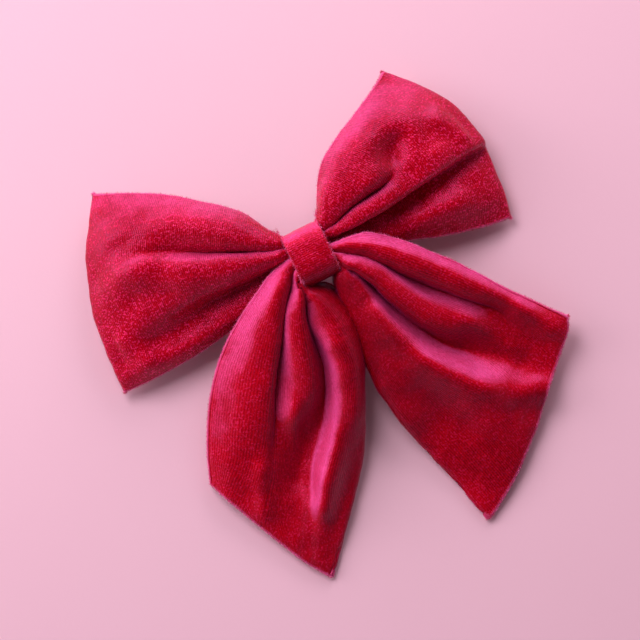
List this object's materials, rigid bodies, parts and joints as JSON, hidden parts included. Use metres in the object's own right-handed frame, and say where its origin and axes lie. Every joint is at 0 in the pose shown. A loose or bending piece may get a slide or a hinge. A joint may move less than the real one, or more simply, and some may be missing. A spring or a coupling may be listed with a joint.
{
  "type": "barrette",
  "caption": "Hair barrette with a large gathered crimson velvet bow: two loops, two draped tails and a ribbed knot band on a sprung, hinged steel clip.",
  "frame": {"origin": "on the plane that the clip lies on, under the centre of the knot", "axes": "+X along the clip from its hinge to its latch, +Y to the top of the bow as worn, +Z out of the bow's face"},
  "size_m": [0.1559, 0.1695, 0.0307],
  "materials": {
    "velvet": "crimson ribbed stretch velvet with a pink sheen",
    "knot_velvet": "crimson ribbed stretch velvet, ribs along the clip",
    "thread": "crimson sewing thread",
    "clip_steel": "nickel plated stamped steel",
    "spring_steel": "nickel plated spring steel",
    "pin_steel": "bright steel"
  },
  "bodies": {
    "bow_and_plate": {"base_plate": "clip_steel", "hinge_pin": "pin_steel", "latch_bridge": "spring_steel", "latch_rivet": "pin_steel", "bow_loops": "velvet", "loop_thread": "thread", "bow_tails": "velvet", "tail_thread": "thread", "knot_band": "knot_velvet", "knot_stitches": "thread"},
    "arm": {"clasp_arm": "clip_steel"},
    "tension": {"tension_bar": "spring_steel"},
    "wing_front": {"latch_wing_front": "spring_steel"},
    "wing_back": {"latch_wing_back": "spring_steel"}
  },
  "joints": [
    {"name": "arm_swing", "type": "hinge", "parent": "bow_and_plate", "child": "arm", "pos_m": [-0.036, 0, 0.002], "axis": [0, 1, 0], "range_deg": [0, 80]},
    {"name": "tension_bar_flex", "type": "hinge", "parent": "bow_and_plate", "child": "tension", "pos_m": [-0.0336, 0, 0.0068], "axis": [0, 1, 0], "range_deg": [-1.2, 0], "stiffness_Nm_per_rad": 1},
    {"name": "latch_pinch", "type": "hinge", "parent": "bow_and_plate", "child": "wing_front", "pos_m": [0.0365, -0.0016, 0.0075], "axis": [1, 0, 0], "range_deg": [0, 8], "stiffness_Nm_per_rad": 0.01},
    {"name": "latch_pinch_back", "type": "hinge", "parent": "bow_and_plate", "child": "wing_back", "pos_m": [0.0365, 0.0016, 0.0075], "axis": [1, 0, 0], "range_deg": [-8, 0], "stiffness_Nm_per_rad": 0.01}
  ],
  "couplings": [
    {"joint": "latch_pinch_back", "follows": "latch_pinch", "ratio": -1}
  ]
}
